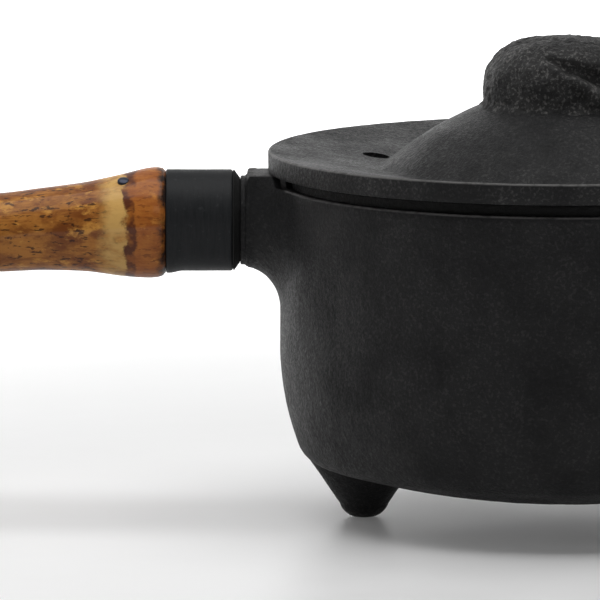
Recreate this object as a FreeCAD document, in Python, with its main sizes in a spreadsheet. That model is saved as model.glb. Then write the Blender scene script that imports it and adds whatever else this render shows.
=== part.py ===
import FreeCAD, Part
import Sketcher

import math
import os

from FreeCAD import Placement, Rotation, Vector

# A side-handled cast iron teapot, in millimetres, +Z up, standing on its three feet.
# While it is drawn the pot's axis is Z, the feet stand at height 0, the handle
# points to -X and the spout to +Y.  At the end the whole assembly shifts sideways,
# so that its origin is under the middle of its box.

DIMENSIONS = {
    # vessel
    "wall_radius": 67.2,
    "wall_thick": 4.0,
    "taper_start": 41.0,
    "taper_round": 65.0,
    "corner_level": 17.0,
    "corner_reach": 58.6,
    "corner_round": 6.3,
    "base_low": 5.1,
    "base_round": 205.0,
    "floor_thick": 4.5,
    "floor_corner_level": 22.0,
    "floor_corner_reach": 54.0,
    "floor_corner_round": 9.0,
    # rim
    "rim_height": 82.0,
    "shoulder_height": 79.4,
    "shoulder_edge": 0.6,
    "collar_radius": 65.2,
    "mouth_radius": 61.6,
    "mouth_low": 78.6,
    "mouth_start": 76.0,
    # feet
    "foot_count": 3,
    "foot_circle": 47.3,
    "foot_tip_radius": 2.4,
    "foot_tip_round": 4.6,
    "foot_nose_radius": 5.8,
    "foot_nose_level": 3.2,
    "foot_root_radius": 13.9,
    "foot_root_level": 15.0,
    # spout
    "spout_root_y": 58.0,
    "spout_root_z": 44.0,
    "spout_tilt": 40.0,
    "spout_length": 60.0,
    "spout_root_radius": 14.0,
    "spout_tip_radius": 7.4,
    "spout_wall": 2.6,
    "spout_level": 83.0,
    "strainer_height": 55.0,
    "strainer_pitch": 7.0,
    "strainer_hole": 2.1,
    # handle neck, ferrule and washer
    "handle_height": 70.5,
    "neck_end": 76.5,
    "neck_ring": 75.2,
    "neck_radius": 10.6,
    "neck_flare_radius": 11.0,
    "neck_flare_round": 15.9,
    "neck_root": 64.8,
    "neck_root_radius": 22.6,
    "neck_saddle_width": 15.6,
    "tang_hole_depth": 10.0,
    "washer_thick": 1.6,
    "washer_neck_radius": 10.0,
    "washer_ferrule_radius": 11.9,
    "ferrule_length": 15.8,
    "ferrule_radius": 12.0,
    "ferrule_bore": 10.7,
    "ferrule_floor": 1.5,
    "ferrule_edge": 0.5,
    # grip and what holds it
    "spigot_radius": 10.6,
    "spigot_length": 14.0,
    "tang_radius": 3.0,
    "tang_clearance": 0.15,
    "grip_length": 106.0,
    "pin_radius": 1.4,
    "pin_along": 9.9,
    "pin_angle": 28.5,
    "pin_outer": 11.5,
    "pin_inner": 3.4,
    "end_washer_radius": 7.0,
    "end_washer_thick": 1.4,
    "nut_across": 10.0,
    "nut_thick": 4.5,
    "nut_dome_radius": 4.5,
    # lid
    "lid_gap": 0.2,
    "lid_radius": 70.0,
    "lid_edge": 5.1,
    "lid_edge_chamfer": 0.5,
    "trough_radius": 43.2,
    "trough_height": 83.4,
    "dome_round": 89.0,
    "boss_radius": 19.4,
    "boss_height": 98.0,
    "lid_thick": 3.6,
    "locating_radius": 60.9,
    "locating_width": 3.6,
    "locating_low": 78.2,
    "vent_radius": 3.2,
    "vent_circle": 47.2,
    "vent_angle": 160.0,
    # knob and its stud
    "knob_radius": 19.1,
    "knob_wall_top": 105.0,
    "knob_shoulder_round": 11.0,
    "knob_crown_radius": 10.0,
    "knob_height": 114.0,
    "knob_crown_round": 40.0,
    "stud_radius": 2.5,
    "stud_depth": 8.0,
    "stud_head_radius": 4.6,
    "stud_head_thick": 2.2,
    "stud_washer_radius": 7.5,
    "stud_washer_thick": 1.2,
}

# The grip is a natural stick: distance out from the ferrule, diameter, and how far
# the middle of the stick sags below the tang's straight line.
GRIP_STATIONS = (
    (0.0, 25.0, 0.4),
    (2.0, 26.1, 0.5),
    (5.0, 25.9, 0.7),
    (11.0, 23.9, 1.2),
    (19.0, 21.1, 1.6),
    (29.0, 19.4, 2.2),
    (41.0, 18.7, 3.1),
    (60.0, 19.2, 3.3),
    (82.0, 21.6, 2.7),
    (97.0, 22.6, 2.2),
    (104.0, 20.4, 2.0),
    (106.0, 17.0, 2.0),
)

H_AXIS = -1
V_AXIS = -2
ORIGIN = (-1, 1)
START = 1
END = 2
CENTRE = 3


class Size:
    """A length: its number now, and the formula that binds it to the sheet."""

    def __init__(self, value, formula=None):
        self.value = float(value)
        self.formula = formula or repr(float(value))

    def joined(self, sign, other, result):
        return Size(result, f"({self.formula} {sign} {other.formula})")

    def __add__(self, other):
        other = as_size(other)
        return self.joined("+", other, self.value + other.value)

    def __sub__(self, other):
        other = as_size(other)
        return self.joined("-", other, self.value - other.value)

    def __mul__(self, other):
        other = as_size(other)
        return self.joined("*", other, self.value * other.value)

    def __truediv__(self, other):
        other = as_size(other)
        return self.joined("/", other, self.value / other.value)

    def __neg__(self):
        return Size(-self.value, f"(-1 * {self.formula})")


def as_size(number):
    return number if isinstance(number, Size) else Size(number)


def root(size):
    return Size(math.sqrt(size.value), f"sqrt({size.formula})")


def bind(thing, prop, size):
    thing.setExpression(prop, as_size(size).formula)


# ---------------------------------------------------------------- the sheet

doc = FreeCAD.newDocument("side_handled_teapot")
sheet = doc.addObject("Spreadsheet::Sheet", "dims")
for row, (alias, number) in enumerate(DIMENSIONS.items(), start=1):
    sheet.set(f"A{row}", alias)
    sheet.set(f"B{row}", str(number))
    sheet.setAlias(f"B{row}", alias)
doc.recompute()


def dim(alias):
    return Size(DIMENSIONS[alias], f"dims.{alias}")


# ---------------------------------------------------------------- drawing helpers

def new_body(label):
    body = doc.addObject("PartDesign::Body", label)
    body.Label = label
    return body


def origin_plane(body, role):
    return next(item for item in body.Origin.OriginFeatures if item.Role == role)


def new_sketch(body, role, name, shift=(0, 0, 0)):
    """A sketch on one of the body's own planes, shifted in the sketch's own x, y, z."""
    sketch = body.newObject("Sketcher::SketchObject", name)
    sketch.AttachmentSupport = (origin_plane(body, role), "")
    sketch.MapMode = "FlatFace"
    sizes = [as_size(part) for part in shift]
    sketch.AttachmentOffset = Placement(Vector(*[size.value for size in sizes]), Rotation())
    for letter, size in zip("xyz", sizes):
        if size.value:
            bind(sketch, f"AttachmentOffset.Base.{letter}", size)
    return sketch


def bound_constraint(sketch, name, size, *constraint):
    index = sketch.addConstraint(Sketcher.Constraint(*constraint, size.value))
    sketch.renameConstraint(index, name)
    bind(sketch, f"Constraints.{name}", size)


def pin_point(sketch, name, point, x, y):
    """Hold one point of the sketch at x, y from the sketch's origin."""
    for kind, size, axis in (("DistanceX", x, V_AXIS), ("DistanceY", y, H_AXIS)):
        size = as_size(size)
        label = f"{name}_{kind[-1].lower()}"
        if size.value == 0:
            sketch.addConstraint(Sketcher.Constraint("PointOnObject", *point, axis))
        elif size.value > 0:
            bound_constraint(sketch, label, size, kind, *ORIGIN, *point)
        else:
            bound_constraint(sketch, label, -size, kind, *point, *ORIGIN)


def arc_edge(start, end, radius, turns_left):
    """The short arc between two points, and whether it is stored from start to end."""
    chord = end - start
    side = 1 if turns_left else -1
    normal = Vector(-chord.y, chord.x, 0).normalize() * side
    rise = math.sqrt(radius ** 2 - (chord.Length / 2) ** 2)
    centre = (start + end) * 0.5 + normal * rise
    first, last = (start, end) if turns_left else (end, start)
    angle_a = math.atan2(first.y - centre.y, first.x - centre.x)
    angle_b = math.atan2(last.y - centre.y, last.x - centre.x)
    if angle_b < angle_a:
        angle_b += 2 * math.pi
    circle = Part.Circle(centre, Vector(0, 0, 1), radius)
    return Part.ArcOfCircle(circle, angle_a, angle_b)


def line_to(x, y):
    return ("line", as_size(x), as_size(y), None)


def left_arc_to(x, y, radius):
    return ("left", as_size(x), as_size(y), as_size(radius))


def right_arc_to(x, y, radius):
    return ("right", as_size(x), as_size(y), as_size(radius))


def draw_outline(sketch, start, steps):
    """A closed outline: from start through every step, and straight back to start."""
    corners = [(as_size(start[0]), as_size(start[1]))] + [(step[1], step[2]) for step in steps]
    kinds = [(step[0], step[3]) for step in steps] + [("line", None)]
    ends = []
    for index, (kind, radius) in enumerate(kinds):
        here = corners[index]
        there = corners[(index + 1) % len(corners)]
        a = Vector(here[0].value, here[1].value, 0)
        b = Vector(there[0].value, there[1].value, 0)
        if kind == "line":
            edge = sketch.addGeometry(Part.LineSegment(a, b), False)
        else:
            edge = sketch.addGeometry(arc_edge(a, b, radius.value, kind == "left"), False)
        ends.append((edge, END, START) if kind == "right" else (edge, START, END))
    for index, (edge, _, last) in enumerate(ends):
        next_edge, next_first, _ = ends[(index + 1) % len(ends)]
        sketch.addConstraint(Sketcher.Constraint("Coincident", edge, last, next_edge, next_first))
    for index, (edge, first, _) in enumerate(ends):
        pin_point(sketch, f"corner_{index}", (edge, first), *corners[index])
        radius = kinds[index][1]
        if radius is not None:
            bound_constraint(sketch, f"round_{index}", radius, "Radius", edge)


def draw_circle(sketch, name, x, y, radius):
    centre = Vector(as_size(x).value, as_size(y).value, 0)
    radius = as_size(radius)
    edge = sketch.addGeometry(Part.Circle(centre, Vector(0, 0, 1), radius.value), False)
    pin_point(sketch, f"{name}_centre", (edge, CENTRE), x, y)
    bound_constraint(sketch, f"{name}_radius", radius, "Radius", edge)


def draw_rectangle(sketch, low_x, low_y, high_x, high_y):
    corners = [line_to(high_x, low_y), line_to(high_x, high_y), line_to(low_x, high_y)]
    draw_outline(sketch, (low_x, low_y), corners)


def revolve(body, sketch, name, axis):
    feature = body.newObject("PartDesign::Revolution", name)
    feature.Profile = sketch
    feature.ReferenceAxis = (sketch, [axis])
    feature.Angle = 360
    return feature


def pad(body, sketch, name, length):
    feature = body.newObject("PartDesign::Pad", name)
    feature.Profile = sketch
    bind(feature, "Length", length)
    return feature


def pocket(body, sketch, name, length=None, reverse=False):
    """Cut along the sketch's own back direction, or its front one when reversed."""
    feature = body.newObject("PartDesign::Pocket", name)
    feature.Profile = sketch
    feature.Reversed = reverse
    if length is None:
        feature.Type = "ThroughAll"
    else:
        bind(feature, "Length", length)
    return feature


def turned_piece(label, axis, start, steps, role="XZ_Plane"):
    """A body that is one outline turned round a sketch axis."""
    body = new_body(label)
    sketch = new_sketch(body, role, f"{label}_outline")
    draw_outline(sketch, start, steps)
    revolve(body, sketch, f"{label}_turned", axis)
    return body


# ---------------------------------------------------------------- the vessel

def dish_height(radius, low, dish_round):
    """Height of a shallow round-bottomed dish at a radius from its axis."""
    return low + dish_round - root(dish_round * dish_round - radius * radius)


def taper_radius(level, wall):
    """Radius of the lower wall at a level: an arc that leaves the straight wall smoothly."""
    drop = dim("taper_start") - level
    reach = root(wall * wall - drop * drop)
    return dim("wall_radius") - dim("taper_round") + reach


def outer_steps():
    """Outside of the vessel, from the middle of its base up to its shoulder."""
    reach = dim("corner_reach")
    reach_height = dish_height(reach, dim("base_low"), dim("base_round"))
    corner = dim("corner_level")
    wall = dim("wall_radius")
    return [
        left_arc_to(reach, reach_height, dim("base_round")),
        left_arc_to(taper_radius(corner, dim("taper_round")), corner, dim("corner_round")),
        left_arc_to(wall, dim("taper_start"), dim("taper_round")),
        line_to(wall, dim("shoulder_height") - dim("shoulder_edge")),
        line_to(wall - dim("shoulder_edge"), dim("shoulder_height")),
    ]


def inner_steps():
    """Inside of the vessel, from the mouth down to the middle of its floor."""
    inner_wall = dim("wall_radius") - dim("wall_thick")
    inner_taper = dim("taper_round") - dim("wall_thick")
    corner = dim("floor_corner_level")
    floor_low = dim("base_low") + dim("floor_thick")
    floor_round = dim("base_round") - dim("floor_thick")
    reach = dim("floor_corner_reach")
    return [
        line_to(dim("mouth_radius"), dim("mouth_low")),
        line_to(inner_wall, dim("mouth_start")),
        line_to(inner_wall, dim("taper_start")),
        right_arc_to(taper_radius(corner, inner_taper), corner, inner_taper),
        right_arc_to(reach, dish_height(reach, floor_low, floor_round), dim("floor_corner_round")),
        right_arc_to(0, floor_low, floor_round),
    ]


def make_envelope():
    """The filled outside shape of the vessel, which trims what is cast on to it."""
    top = [line_to(0, dim("shoulder_height"))]
    return turned_piece("vessel_envelope", "V_Axis", (0, dim("base_low")), outer_steps() + top)


def make_pot_body():
    body = new_body("pot_body")
    wall = new_sketch(body, "XZ_Plane", "vessel_outline")
    rim = [
        line_to(dim("collar_radius"), dim("shoulder_height")),
        line_to(dim("collar_radius"), dim("rim_height")),
        line_to(dim("mouth_radius"), dim("rim_height")),
    ]
    draw_outline(wall, (0, dim("base_low")), outer_steps() + rim + inner_steps())
    revolve(body, wall, "vessel", "V_Axis")
    add_handle_neck(body)
    add_strainer_holes(body)
    return body


def add_handle_neck(body):
    """A flared stub for the handle, with a flat saddle level with the rim, drilled for the tang."""
    axis_shift = (0, dim("handle_height"), 0)
    flare = new_sketch(body, "XZ_Plane", "neck_outline", axis_shift)
    steps = [
        line_to(-dim("neck_end"), dim("neck_radius")),
        line_to(-dim("neck_ring"), dim("neck_radius")),
        line_to(-dim("neck_ring"), dim("neck_flare_radius")),
        left_arc_to(-dim("neck_root"), dim("neck_root_radius"), dim("neck_flare_round")),
        line_to(-dim("neck_root"), 0),
    ]
    draw_outline(flare, (-dim("neck_end"), 0), steps)
    revolve(body, flare, "neck", "H_Axis")

    top = new_sketch(body, "XY_Plane", "neck_top", (0, 0, dim("rim_height")))
    half_root = dim("neck_root_radius") + 2
    draw_rectangle(top, -dim("neck_end") - 1, -half_root, -dim("neck_root") + 4, half_root)
    pocket(body, top, "neck_flat", dim("neck_root_radius"), reverse=True)

    above = new_sketch(body, "XY_Plane", "neck_shoulder", (0, 0, dim("shoulder_height")))
    draw_circle(above, "inside", 0, 0, dim("collar_radius"))
    draw_circle(above, "outside", 0, 0, dim("neck_ring") - dim("shoulder_edge"))
    pocket(body, above, "neck_level", dim("neck_root_radius"), reverse=True)

    saddle = new_sketch(body, "YZ_Plane", "saddle_outline", (0, 0, -dim("neck_ring")))
    half_width = dim("neck_saddle_width") / 2
    draw_rectangle(saddle, -half_width, dim("handle_height"), half_width, dim("rim_height"))
    pad(body, saddle, "neck_saddle", dim("neck_ring") - dim("neck_root"))

    mouth = new_sketch(body, "YZ_Plane", "tang_mouth", (0, dim("handle_height"), -dim("neck_end")))
    draw_circle(mouth, "tang", 0, 0, dim("tang_radius"))
    pocket(body, mouth, "tang_hole", dim("tang_hole_depth"), reverse=True)


def add_strainer_holes(body):
    """A middle hole and a ring of six, through the wall behind the spout."""
    sketch = new_sketch(body, "XZ_Plane", "strainer", (0, dim("strainer_height"), 0))
    draw_circle(sketch, "hole_middle", 0, 0, dim("strainer_hole"))
    ring_count = 6
    for index in range(ring_count):
        angle = 2 * math.pi * index / ring_count
        x = dim("strainer_pitch") * round(math.cos(angle), 6)
        y = dim("strainer_pitch") * round(math.sin(angle), 6)
        draw_circle(sketch, f"hole_{index}", x, y, dim("strainer_hole"))
    pocket(body, sketch, "strainer_holes")


def trimmed(label, base, tool):
    """The part of the base that lies outside the tool."""
    cut = doc.addObject("Part::Cut", label)
    cut.Base = base
    cut.Tool = tool
    cut.Label = label
    return cut


def make_foot(name, azimuth, envelope):
    """A rounded cone that runs up into the corner of the vessel."""
    steps = [
        line_to(dim("foot_tip_radius"), 0),
        left_arc_to(dim("foot_nose_radius"), dim("foot_nose_level"), dim("foot_tip_round")),
        line_to(dim("foot_root_radius"), dim("foot_root_level")),
        line_to(0, dim("foot_root_level")),
    ]
    blank = turned_piece(f"{name}_blank", "V_Axis", (0, 0), steps)
    circle = dim("foot_circle")
    bind(blank, "Placement.Base.x", circle * round(math.cos(math.radians(azimuth)), 6))
    bind(blank, "Placement.Base.y", circle * round(math.sin(math.radians(azimuth)), 6))
    return trimmed(name, blank, envelope)


def make_feet(envelope):
    names = ("foot_handle_side", "foot_front", "foot_back")
    step = 360 / dim("foot_count").value
    return [make_foot(name, 180 + step * index, envelope) for index, name in enumerate(names)]


def tilted_cone(name, root_radius, tip_radius, length):
    """A cone that rises from the spout's root point, leaning outwards to +Y."""
    cone = doc.addObject("Part::Cone", name)
    bind(cone, "Radius1", root_radius)
    bind(cone, "Radius2", tip_radius)
    bind(cone, "Height", length)
    cone.Placement.Rotation = Rotation(Vector(-1, 0, 0), dim("spout_tilt").value)
    bind(cone, "Placement.Rotation.Angle", dim("spout_tilt"))
    bind(cone, "Placement.Base.y", dim("spout_root_y"))
    bind(cone, "Placement.Base.z", dim("spout_root_z"))
    return cone


def make_spout(envelope):
    """A short tapering tube, cut level at its tip and trimmed to the vessel's wall."""
    wall = dim("spout_wall")
    outside = tilted_cone(
        "spout_outside", dim("spout_root_radius"), dim("spout_tip_radius"), dim("spout_length"))
    channel = tilted_cone(
        "spout_channel", dim("spout_root_radius") - wall, dim("spout_tip_radius") - wall,
        dim("spout_length"))
    tube = trimmed("spout_tube", outside, channel)

    above = doc.addObject("Part::Box", "above_the_tip")
    span = dim("spout_length")
    bind(above, "Length", span * 2)
    bind(above, "Width", span * 2)
    bind(above, "Height", span)
    bind(above, "Placement.Base.x", -span)
    bind(above, "Placement.Base.y", dim("spout_root_y"))
    bind(above, "Placement.Base.z", dim("spout_level"))
    return trimmed("spout", trimmed("spout_levelled", tube, above), envelope)


# ---------------------------------------------------------------- the handle

def washer_start():
    return dim("neck_end")


def ferrule_start():
    return washer_start() + dim("washer_thick")


def grip_start():
    return ferrule_start() + dim("ferrule_length")


def butt():
    return grip_start() + dim("grip_length")


def ring_piece(label, start, end, outer, inner, chamfer):
    """A flat ring on the handle's axis with both outer edges chamfered."""
    steps = [
        line_to(-start, outer - chamfer),
        line_to(-start - chamfer, outer),
        line_to(-end + chamfer, outer),
        line_to(-end, outer - chamfer),
        line_to(-end, inner),
    ]
    return turned_piece(label, "H_Axis", (-start, inner), steps)


def make_neck_washer():
    """A tapered ring that steps up from the neck's radius to the ferrule's."""
    bore = dim("tang_radius") + dim("tang_clearance")
    steps = [
        line_to(-washer_start(), dim("washer_neck_radius")),
        line_to(-ferrule_start(), dim("washer_ferrule_radius")),
        line_to(-ferrule_start(), bore),
    ]
    return turned_piece("neck_washer", "H_Axis", (-washer_start(), bore), steps)


def make_ferrule():
    """A cup whose floor faces the neck and whose open end takes the grip's spigot."""
    start = ferrule_start()
    end = grip_start()
    outer = dim("ferrule_radius")
    edge = dim("ferrule_edge")
    bore = dim("tang_radius") + dim("tang_clearance")
    steps = [
        line_to(-start, outer - edge),
        line_to(-start - edge, outer),
        line_to(-end + edge, outer),
        line_to(-end, outer - edge),
        line_to(-end, dim("ferrule_bore")),
        line_to(-start - dim("ferrule_floor"), dim("ferrule_bore")),
        line_to(-start - dim("ferrule_floor"), bore),
    ]
    return turned_piece("ferrule", "H_Axis", (-start, bore), steps)


def make_grip():
    """A lofted natural stick with a turned spigot, drilled straight for the tang."""
    body = new_body("grip")
    sections = []
    for index, (along, diameter, sag) in enumerate(GRIP_STATIONS):
        shift = (0, -sag, -grip_start() - along)
        sketch = new_sketch(body, "YZ_Plane", f"grip_section_{index}", shift)
        draw_circle(sketch, "stick", 0, 0, diameter / 2)
        sections.append(sketch)
    stick = body.newObject("PartDesign::AdditiveLoft", "grip_stick")
    stick.Profile = sections[0]
    stick.Sections = sections[1:]

    spigot = new_sketch(body, "YZ_Plane", "spigot_outline", (0, 0, -grip_start() - 1))
    draw_circle(spigot, "spigot", 0, 0, dim("spigot_radius"))
    pad(body, spigot, "grip_spigot", dim("spigot_length") + 1)

    bore = new_sketch(body, "YZ_Plane", "bore_outline", (0, 0, -butt() - 1))
    draw_circle(bore, "bore", 0, 0, dim("tang_radius") + dim("tang_clearance"))
    pocket(body, bore, "grip_bore", reverse=True)

    pin_hole = new_sketch(body, "XY_Plane", "pin_hole_outline")
    draw_circle(pin_hole, "pin", -grip_start() - dim("pin_along"), 0, dim("pin_radius"))
    lean_about_x(pin_hole, dim("pin_angle"))
    pocket(body, pin_hole, "grip_pin_hole", reverse=True)
    return body


def lean_about_x(sketch, angle):
    """Turn a sketch about the handle's axis, so that it faces up and towards -Y."""
    rotation = Rotation(Vector(1, 0, 0), angle.value)
    sketch.AttachmentOffset = Placement(Vector(0, 0, 0), rotation)
    bind(sketch, "AttachmentOffset.Rotation.Angle", angle)


def make_grip_pin():
    """A plain round pin driven into the collar of the grip."""
    body = new_body("grip_pin")
    sketch = new_sketch(body, "XY_Plane", "grip_pin_outline")
    draw_circle(sketch, "pin", -grip_start() - dim("pin_along"), 0, dim("pin_radius"))
    lean_about_x(sketch, dim("pin_angle"))
    pad(body, sketch, "grip_pin_length", dim("pin_outer"))
    core = new_sketch(body, "XY_Plane", "grip_pin_core")
    draw_circle(core, "core", -grip_start() - dim("pin_along"), 0, dim("pin_radius") + 1)
    lean_about_x(core, dim("pin_angle"))
    pocket(body, core, "grip_pin_start", dim("pin_inner"), reverse=True)
    return body


def make_tang_rod():
    """A straight steel rod from the neck to the nut."""
    inner = dim("neck_end") - dim("tang_hole_depth")
    outer = butt() + dim("end_washer_thick") + dim("nut_thick")
    steps = [
        line_to(-inner, dim("tang_radius")),
        line_to(-outer, dim("tang_radius")),
        line_to(-outer, 0),
    ]
    return turned_piece("tang_rod", "H_Axis", (-inner, 0), steps)


def make_end_washer():
    bore = dim("tang_radius") + dim("tang_clearance")
    end = butt() + dim("end_washer_thick")
    return ring_piece("end_washer", butt(), end, dim("end_washer_radius"), bore, dim("ferrule_edge"))


def make_end_nut():
    """A hexagon cap nut: six flats and a round dome that closes it."""
    body = new_body("end_nut")
    seat = butt() + dim("end_washer_thick")
    hexagon = new_sketch(body, "YZ_Plane", "nut_hexagon", (0, 0, -seat))
    corner = dim("nut_across") / math.sqrt(3)
    corners = []
    for index in range(6):
        angle = math.radians(60 * index)
        corners.append((corner * round(math.cos(angle), 6), corner * round(math.sin(angle), 6)))
    draw_outline(hexagon, corners[0], [line_to(*point) for point in corners[1:]])
    block = pad(body, hexagon, "nut_block", dim("nut_thick"))
    block.Reversed = True

    dome = new_sketch(body, "XZ_Plane", "nut_dome_outline")
    top = seat + dim("nut_thick")
    radius = dim("nut_dome_radius")
    draw_outline(dome, (-top + 1, 0), [
        line_to(-top + 1, radius),
        line_to(-top, radius),
        left_arc_to(-top - radius, 0, radius),
    ])
    revolve(body, dome, "nut_dome", "H_Axis")

    socket = new_sketch(body, "YZ_Plane", "nut_socket_outline", (0, 0, -seat))
    draw_circle(socket, "socket", 0, 0, dim("tang_radius"))
    pocket(body, socket, "nut_socket", dim("nut_thick"))
    return body


# ---------------------------------------------------------------- the lid

def lid_under():
    return dim("rim_height") + dim("lid_gap")


def make_lid_plate():
    """A flat-edged ring, dished down to a trough, round a dome that ends in a flat boss."""
    body = new_body("lid_plate")
    sketch = new_sketch(body, "XZ_Plane", "lid_outline")
    edge_top = lid_under() + dim("lid_edge")
    chamfer = dim("lid_edge_chamfer")
    thick = dim("lid_thick")
    locating = dim("locating_radius")
    locating_inner = locating - dim("locating_width")
    steps = [
        right_arc_to(dim("trough_radius"), dim("trough_height") - thick, dim("dome_round")),
        line_to(locating_inner, dim("trough_height") - thick + 1),
        line_to(locating_inner, dim("locating_low")),
        line_to(locating, dim("locating_low")),
        line_to(locating, lid_under()),
        line_to(dim("lid_radius"), lid_under()),
        line_to(dim("lid_radius"), edge_top - chamfer),
        line_to(dim("lid_radius") - chamfer, edge_top),
        line_to(dim("trough_radius"), dim("trough_height")),
        left_arc_to(dim("boss_radius"), dim("boss_height"), dim("dome_round")),
        line_to(dim("stud_radius"), dim("boss_height")),
        line_to(dim("stud_radius"), dim("boss_height") - thick),
    ]
    draw_outline(sketch, (dim("boss_radius"), dim("boss_height") - thick), steps)
    revolve(body, sketch, "lid_turned", "V_Axis")

    vent = new_sketch(body, "XY_Plane", "vent_outline", (0, 0, lid_under()))
    angle = math.radians(dim("vent_angle").value)
    x = dim("vent_circle") * round(math.cos(angle), 6)
    y = dim("vent_circle") * round(math.sin(angle), 6)
    draw_circle(vent, "vent", x, y, dim("vent_radius"))
    cut = pocket(body, vent, "vent_hole")
    cut.Midplane = True
    return body


def make_lid_knob():
    """A squat round knob with a blind hole for its stud."""
    seat = dim("boss_height")
    crown = dim("knob_crown_radius")
    crown_round = dim("knob_crown_round")
    crown_drop = crown_round - root(crown_round * crown_round - crown * crown)
    hole_top = seat + dim("stud_depth")
    steps = [
        line_to(dim("knob_radius"), seat),
        line_to(dim("knob_radius"), dim("knob_wall_top")),
        left_arc_to(crown, dim("knob_height") - crown_drop, dim("knob_shoulder_round")),
        left_arc_to(0, dim("knob_height"), crown_round),
        line_to(0, hole_top),
        line_to(dim("stud_radius"), hole_top),
    ]
    return turned_piece("lid_knob", "V_Axis", (dim("stud_radius"), seat), steps)


def stud_washer_top():
    return dim("boss_height") - dim("lid_thick")


def make_stud_washer():
    top = stud_washer_top()
    low = top - dim("stud_washer_thick")
    steps = [
        line_to(dim("stud_washer_radius"), low),
        line_to(dim("stud_washer_radius"), top),
        line_to(dim("stud_radius"), top),
    ]
    return turned_piece("stud_washer", "V_Axis", (dim("stud_radius"), low), steps)


def make_knob_stud():
    """A rivet: a flat head under the washer and a shank up into the knob."""
    seat = stud_washer_top() - dim("stud_washer_thick")
    low = seat - dim("stud_head_thick")
    top = dim("boss_height") + dim("stud_depth")
    steps = [
        line_to(dim("stud_head_radius"), low),
        line_to(dim("stud_head_radius"), seat),
        line_to(dim("stud_radius"), seat),
        line_to(dim("stud_radius"), top),
        line_to(0, top),
    ]
    return turned_piece("knob_stud", "V_Axis", (0, low), steps)


# ---------------------------------------------------------------- assembly

def on_handle_axis(pieces):
    for piece in pieces:
        piece.Placement.Base = Vector(0, 0, dim("handle_height").value)
    return pieces


def check_document():
    """Stop if any object failed, whether or not the recompute said so."""
    for item in doc.Objects:
        bad = [word for word in item.State if word in ("Invalid", "Error")]
        if bad:
            raise RuntimeError(f"{item.Name} is {bad}")


def check_shape(piece):
    if piece.Shape.isNull() or not piece.Shape.isValid():
        raise RuntimeError(f"{piece.Label} has no valid shape")


def shift_to_middle(pieces):
    """Put the origin on the floor, under the middle of the assembly's box."""
    box = Part.makeCompound([piece.Shape for piece in pieces]).optimalBoundingBox()
    shift = Vector(-(box.XMin + box.XMax) / 2, -(box.YMin + box.YMax) / 2, -box.ZMin)
    for piece in pieces:
        piece.Placement.Base = piece.Placement.Base + shift
    doc.recompute()
    print("pot axis is at", tuple(round(part, 3) for part in shift))
    print("box", round(box.XLength, 2), round(box.YLength, 2), round(box.ZLength, 2))


envelope = make_envelope()
on_pot_axis = [make_pot_body(), *make_feet(envelope), make_spout(envelope)]
lid_pieces = [make_lid_plate(), make_lid_knob(), make_stud_washer(), make_knob_stud()]
handle_pieces = on_handle_axis([
    make_neck_washer(),
    make_ferrule(),
    make_grip(),
    make_grip_pin(),
    make_tang_rod(),
    make_end_washer(),
    make_end_nut(),
])
assembly = on_pot_axis + lid_pieces + handle_pieces
doc.recompute()
check_document()
shift_to_middle(assembly)
check_document()

os.makedirs("parts", exist_ok=True)
for piece in assembly:
    check_shape(piece)
    piece.Shape.exportStep(f"parts/{piece.Label}.step")
    print(piece.Label, round(piece.Shape.Volume / 1000, 2), "cm3", len(piece.Shape.Solids), "solid")
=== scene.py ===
# %% [markdown]
# # A side-handled cast iron teapot
# This lesson builds the look of a small cast iron pot: a round sand-cast vessel on
# three stub feet, a short spout, a heavy dished lid with a lumpy knob, and a stick of
# glossy root wood held on by a long steel rod.
# The measured model is loaded first.  It gives the places of the pieces, so each new
# one is built straight into its place.  The sizes of an outline, the lean of the pin,
# the table of the stick and the fold of the knob are written beside each piece.

import math

import bmesh
import bpy
from mathutils import Matrix, Vector, noise


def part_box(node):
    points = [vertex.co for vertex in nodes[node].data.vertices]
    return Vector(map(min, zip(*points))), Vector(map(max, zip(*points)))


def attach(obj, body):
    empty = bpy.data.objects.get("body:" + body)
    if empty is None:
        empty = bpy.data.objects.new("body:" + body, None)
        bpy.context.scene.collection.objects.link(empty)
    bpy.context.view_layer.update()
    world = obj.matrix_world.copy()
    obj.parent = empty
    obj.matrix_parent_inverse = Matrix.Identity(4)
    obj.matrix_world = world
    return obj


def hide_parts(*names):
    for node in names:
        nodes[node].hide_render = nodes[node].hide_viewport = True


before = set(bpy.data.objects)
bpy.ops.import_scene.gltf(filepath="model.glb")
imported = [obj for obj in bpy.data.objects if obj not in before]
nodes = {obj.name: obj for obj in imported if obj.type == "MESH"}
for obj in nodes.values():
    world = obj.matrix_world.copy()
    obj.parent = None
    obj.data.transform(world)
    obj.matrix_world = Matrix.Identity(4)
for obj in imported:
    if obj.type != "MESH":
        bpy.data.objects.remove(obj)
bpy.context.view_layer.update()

# %% [markdown]
# ## Working from the pot's own axis
# The vessel and the lid were turned about one upright axis, so sizes are easiest to
# read as a radius and a height in millimetres.  The lid plate is a plain disc, and the
# middle of its box is that axis.  `spot` turns millimetres from the axis into a place
# in the scene, which is in metres.

# %% Find the axis
MM = 0.001
lid_low, lid_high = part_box("lid_plate")
AXIS_X = (lid_low.x + lid_high.x) / 2
AXIS_Y = (lid_low.y + lid_high.y) / 2
HANDLE_Z = sum(corner.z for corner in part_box("tang_rod")) / 2 / MM


def spot(x, y, z):
    """A place given in millimetres from the foot of the pot's axis."""
    return Vector((AXIS_X + x * MM, AXIS_Y + y * MM, z * MM))


def span(node):
    """Lowest and highest corner of a measured node, in millimetres from the pot's axis."""
    foot = spot(0, 0, 0)
    return tuple((corner - foot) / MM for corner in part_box(node))


print("pot axis", round(AXIS_X, 4), round(AXIS_Y, 4), "handle height", round(HANDLE_Z, 2))

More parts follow.
